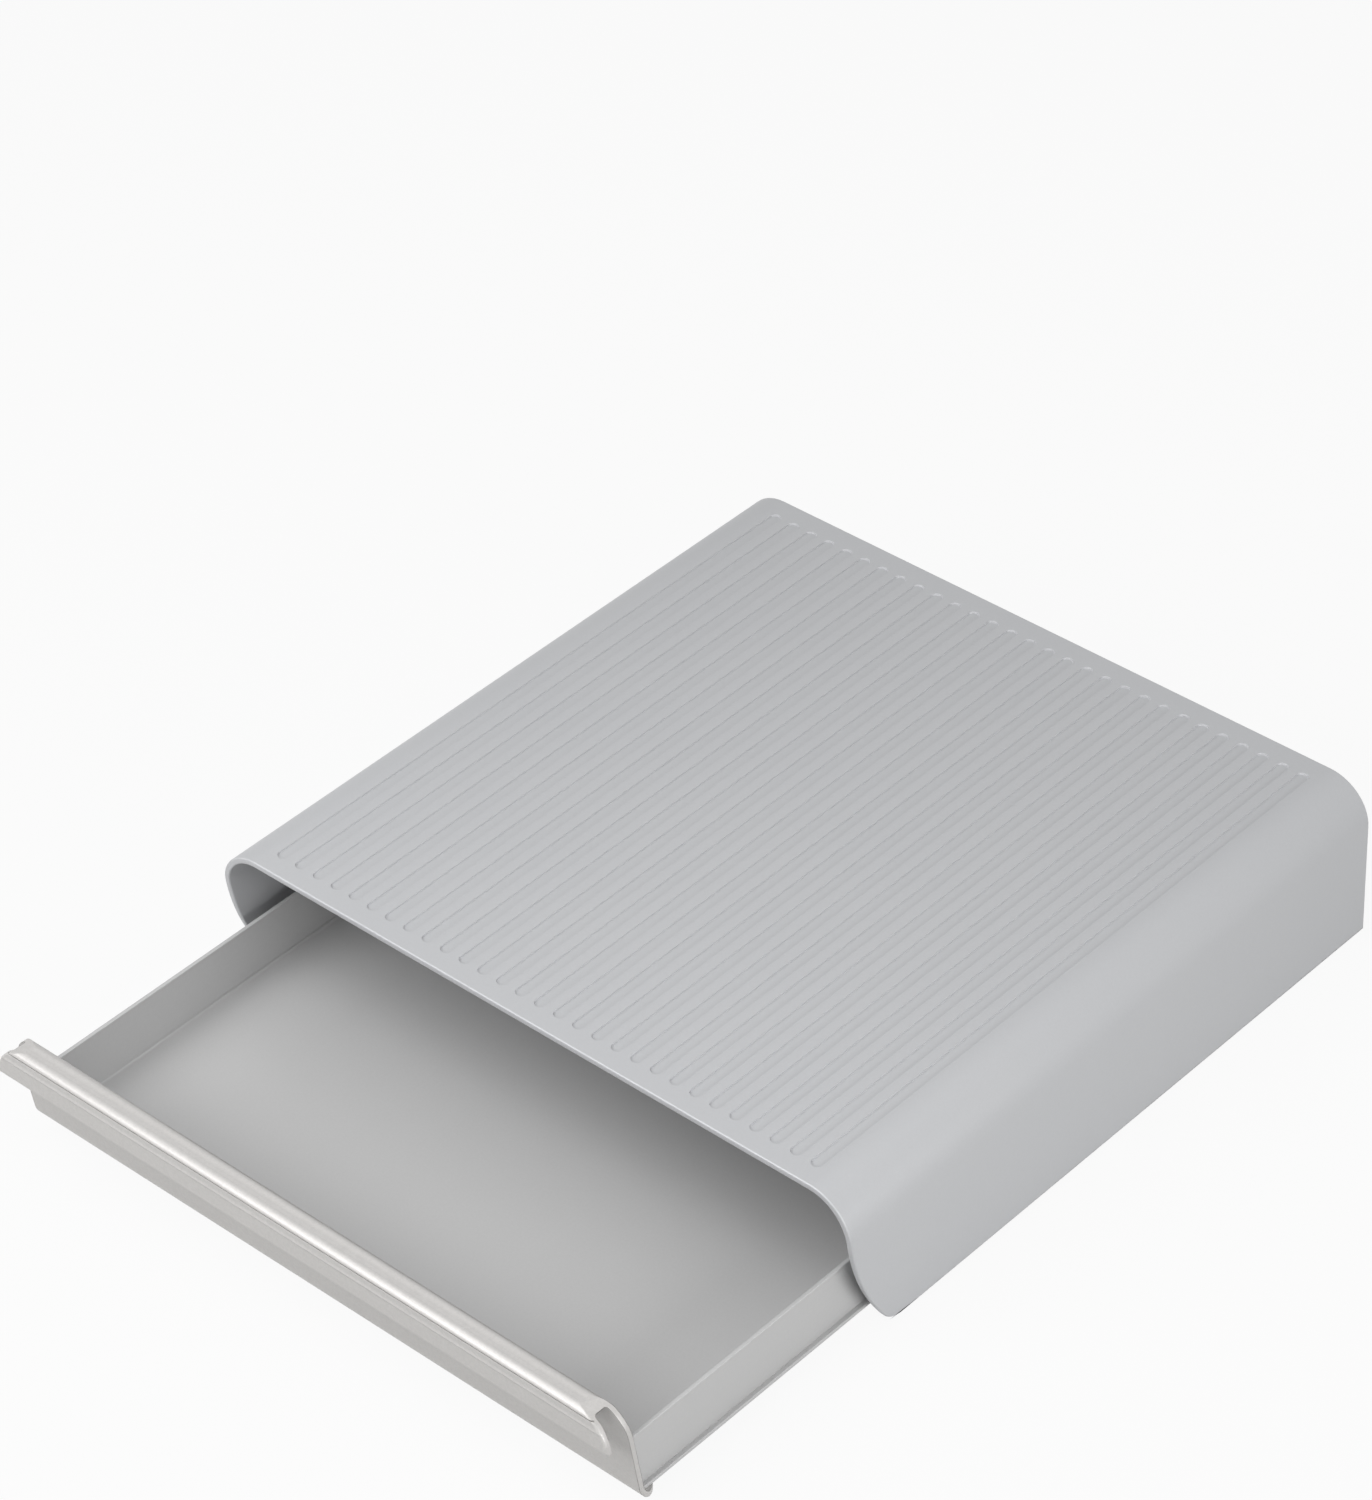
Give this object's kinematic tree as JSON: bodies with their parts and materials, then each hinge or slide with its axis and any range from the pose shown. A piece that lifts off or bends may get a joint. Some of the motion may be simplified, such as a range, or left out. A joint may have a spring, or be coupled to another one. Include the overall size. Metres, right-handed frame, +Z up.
{
  "type": "coffee pod drawer",
  "caption": "Low stand for a coffee maker with a pull-out drawer of coffee pods, curved sides, grooved top and a full-width hooked pull.",
  "frame": {"origin": "on the table, under the middle of the whole object as drawn, with the drawer pulled out 118 mm", "axes": "+X to the right seen from the front, +Y from the drawer's front to the back, +Z up"},
  "size_m": [0.3304, 0.4443, 0.0741],
  "materials": {
    "cover_plastic": "satin silver-grey moulded plastic",
    "front_plastic": "satin silver-grey moulded plastic",
    "tray_plastic": "satin silver-grey moulded plastic",
    "base_plastic": "fine-grained mid-grey moulded plastic",
    "rail_plastic": "natural low-friction plastic",
    "black_rubber": "matt",
    "screw_steel": "zinc plated"
  },
  "bodies": {
    "housing": {"housing_cover": "cover_plastic", "base_panel": "base_plastic", "rear_panel": "cover_plastic", "left_rail": "rail_plastic", "right_rail": "rail_plastic", "left_stop_block": "rail_plastic", "right_stop_block": "rail_plastic", "left_buffer": "black_rubber", "right_buffer": "black_rubber", "front_left_foot": "black_rubber", "front_right_foot": "black_rubber", "rear_left_foot": "black_rubber", "rear_right_foot": "black_rubber", "rail_screws": "screw_steel", "stop_block_screws": "screw_steel", "rear_panel_screws": "screw_steel"},
    "drawer": {"drawer_tray": "tray_plastic", "drawer_front": "front_plastic", "front_screws": "screw_steel"}
  },
  "joints": [
    {"name": "drawer_slide", "type": "slide", "parent": "housing", "child": "drawer", "axis": [0, -1, 0], "range_m": [-0.118, 0.1]}
  ]
}
